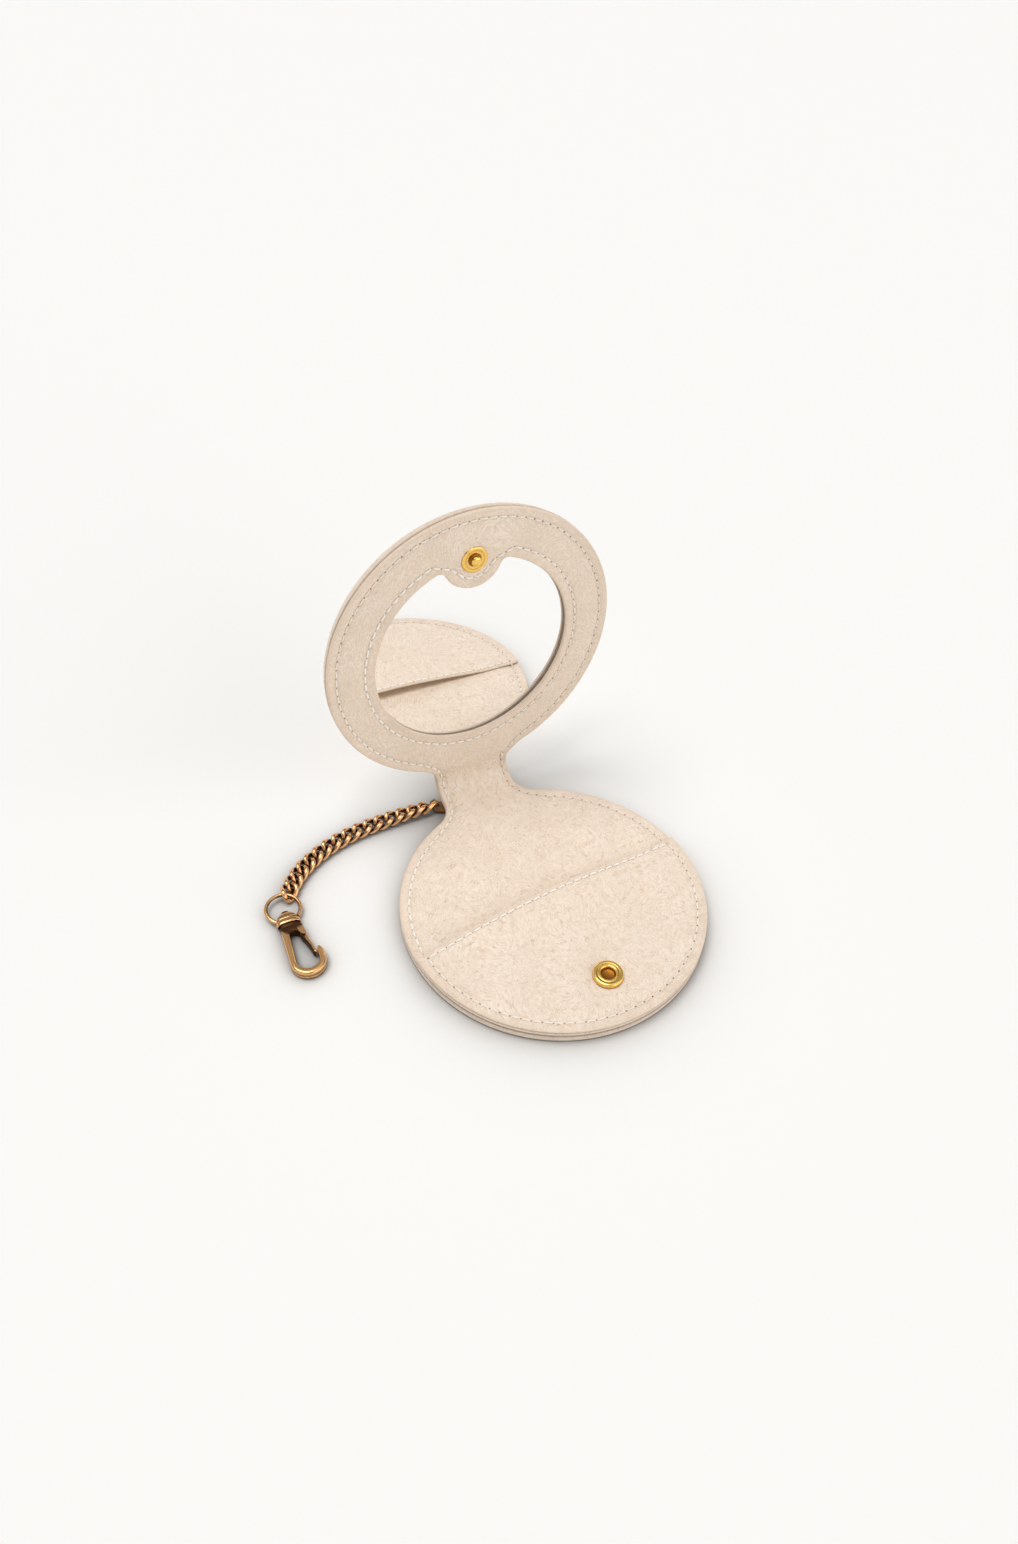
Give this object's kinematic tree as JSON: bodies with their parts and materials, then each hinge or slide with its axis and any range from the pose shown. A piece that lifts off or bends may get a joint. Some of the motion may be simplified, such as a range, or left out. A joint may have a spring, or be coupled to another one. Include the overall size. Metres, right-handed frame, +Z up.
{
  "type": "keychain mirror",
  "caption": "Round folding pocket mirror in stitched leather, with a press snap, a half pocket, and a curb chain ending in a ring and swivel clip",
  "frame": {"origin": "centre of the pocket disc's flat underside, where it rests on the table", "axes": "+X along the fold line, +Y from the snap socket towards the neck, +Z up, away from the table"},
  "size_m": [0.1084, 0.0944, 0.0913],
  "materials": {
    "leather": "smooth pale beige leather, fine grain, soft sheen",
    "board": "bonded leather stiffener board, matt",
    "mirror": "silvered glass, polished",
    "snap_metal": "gold plated, polished",
    "chain_metal": "warm antique gold plate, polished"
  },
  "bodies": {
    "pocket_disc": {"outer_leather_base": "leather", "base_board": "board", "inner_leather_base": "leather", "pocket_panel": "leather", "snap_socket": "snap_metal", "chain_anchor": "chain_metal", "anchor_rivet": "chain_metal"},
    "neck_1": {"outer_neck_1": "leather", "inner_neck_1": "leather"},
    "neck_2": {"outer_neck_2": "leather", "inner_neck_2": "leather"},
    "mirror_disc": {"outer_leather_flap": "leather", "flap_board": "board", "mirror_glass": "mirror", "mirror_surround": "board", "inner_leather_flap": "leather", "snap_stud": "snap_metal"},
    "link_01": {"link_01": "chain_metal"},
    "link_02": {"link_02": "chain_metal"},
    "link_03": {"link_03": "chain_metal"},
    "link_04": {"link_04": "chain_metal"},
    "link_05": {"link_05": "chain_metal"},
    "link_06": {"link_06": "chain_metal"},
    "link_07": {"link_07": "chain_metal"},
    "link_08": {"link_08": "chain_metal"},
    "link_09": {"link_09": "chain_metal"},
    "link_10": {"link_10": "chain_metal"},
    "link_11": {"link_11": "chain_metal"},
    "link_12": {"link_12": "chain_metal"},
    "link_13": {"link_13": "chain_metal"},
    "link_14": {"link_14": "chain_metal"},
    "link_15": {"link_15": "chain_metal"},
    "link_16": {"link_16": "chain_metal"},
    "jump_ring": {"jump_ring": "chain_metal"},
    "swivel_eye": {"swivel_eye": "chain_metal"},
    "clip_body": {"clip_body": "chain_metal", "gate_pin": "chain_metal"},
    "gate": {"gate": "chain_metal"}
  },
  "joints": [
    {"name": "fold_hinge_1", "type": "hinge", "parent": "pocket_disc", "child": "neck_1", "pos_m": [0, 0.04383, 0.00255], "axis": [1, 0, 0], "range_deg": [-29.33, 30.67]},
    {"name": "fold_hinge_2", "type": "hinge", "parent": "neck_1", "child": "neck_2", "pos_m": [0, 0.047, 0.00433], "axis": [1, 0, 0], "range_deg": [-29.33, 30.67]},
    {"name": "fold_hinge_3", "type": "hinge", "parent": "neck_2", "child": "mirror_disc", "pos_m": [0, 0.04889, 0.00744], "axis": [1, 0, 0], "range_deg": [-29.33, 30.67]},
    {"name": "link_01_bend", "type": "hinge", "parent": "pocket_disc", "child": "link_01", "pos_m": [-0.01347, 0.04531, 0.00202], "axis": [0, 0, 1], "range_deg": [-17, 5]},
    {"name": "link_02_lift", "type": "hinge", "parent": "link_01", "child": "link_02", "pos_m": [-0.01673, 0.04555, 0.00188], "axis": [-0.0712, -0.9975, 0], "range_deg": [-17, 15]},
    {"name": "link_03_bend", "type": "hinge", "parent": "link_02", "child": "link_03", "pos_m": [-0.02, 0.04579, 0.00174], "axis": [0, 0, -1], "range_deg": [-15, 24]},
    {"name": "link_04_lift", "type": "hinge", "parent": "link_03", "child": "link_04", "pos_m": [-0.02327, 0.04598, 0.00162], "axis": [0.0383, 0.9993, 0], "range_deg": [-17, 17]},
    {"name": "link_05_bend", "type": "hinge", "parent": "link_04", "child": "link_05", "pos_m": [-0.02654, 0.04611, 0.00149], "axis": [0, 0, 1], "range_deg": [-24, 16]},
    {"name": "link_06_lift", "type": "hinge", "parent": "link_05", "child": "link_06", "pos_m": [-0.02982, 0.04613, 0.00149], "axis": [0.0308, -0.9995, 0], "range_deg": [-24, 24]},
    {"name": "link_07_bend", "type": "hinge", "parent": "link_06", "child": "link_07", "pos_m": [-0.03309, 0.04603, 0.00149], "axis": [0, 0, -1], "range_deg": [-24, 24]},
    {"name": "link_08_lift", "type": "hinge", "parent": "link_07", "child": "link_08", "pos_m": [-0.03635, 0.04577, 0.00149], "axis": [-0.1369, 0.9906, 0], "range_deg": [-24, 24]},
    {"name": "link_09_bend", "type": "hinge", "parent": "link_08", "child": "link_09", "pos_m": [-0.0396, 0.04532, 0.00149], "axis": [0, 0, 1], "range_deg": [-24, 24]},
    {"name": "link_10_lift", "type": "hinge", "parent": "link_09", "child": "link_10", "pos_m": [-0.04281, 0.04466, 0.00149], "axis": [0.2785, -0.9604, 0], "range_deg": [-24, 24]},
    {"name": "link_11_bend", "type": "hinge", "parent": "link_10", "child": "link_11", "pos_m": [-0.04595, 0.04375, 0.00149], "axis": [0, 0, -1], "range_deg": [-24, 24]},
    {"name": "link_12_lift", "type": "hinge", "parent": "link_11", "child": "link_12", "pos_m": [-0.049, 0.04256, 0.00149], "axis": [-0.4495, 0.8933, 0], "range_deg": [-24, 24]},
    {"name": "link_13_bend", "type": "hinge", "parent": "link_12", "child": "link_13", "pos_m": [-0.05193, 0.04109, 0.00162], "axis": [0, 0, 1], "range_deg": [-23, 24]},
    {"name": "link_14_lift", "type": "hinge", "parent": "link_13", "child": "link_14", "pos_m": [-0.05468, 0.03932, 0.00174], "axis": [0.6364, -0.7714, 0], "range_deg": [-21, 15]},
    {"name": "link_15_bend", "type": "hinge", "parent": "link_14", "child": "link_15", "pos_m": [-0.05721, 0.03723, 0.00188], "axis": [0, 0, -1], "range_deg": [-22, 21]},
    {"name": "link_16_lift", "type": "hinge", "parent": "link_15", "child": "link_16", "pos_m": [-0.05945, 0.03484, 0.00202], "axis": [-0.8154, 0.5789, 0], "range_deg": [-14, 23]},
    {"name": "ring_hinge", "type": "hinge", "parent": "link_16", "child": "jump_ring", "pos_m": [-0.06101, 0.03265, 0.00197], "axis": [0, 0, 1], "range_deg": [-24, 17]},
    {"name": "eye_slide_round_ring", "type": "hinge", "parent": "jump_ring", "child": "swivel_eye", "pos_m": [-0.06355, 0.02907, 0.00172], "axis": [-0.0033, -0.0678, 0.9977], "range_deg": [-80, 80]},
    {"name": "clip_swivel", "type": "hinge", "parent": "swivel_eye", "child": "clip_body", "pos_m": [-0.06371, 0.0257, 0.00142], "axis": [-0.0486, -0.9988, 0], "continuous": true},
    {"name": "gate_hinge", "type": "hinge", "parent": "clip_body", "child": "gate", "pos_m": [-0.06184, 0.021, 0.00142], "axis": [0, 0, 1], "range_deg": [-26, 0], "stiffness_Nm_per_rad": 0.002, "springref_deg": 20.05}
  ],
  "couplings": [
    {"joint": "fold_hinge_2", "follows": "fold_hinge_1", "ratio": 1},
    {"joint": "fold_hinge_3", "follows": "fold_hinge_1", "ratio": 1}
  ]
}
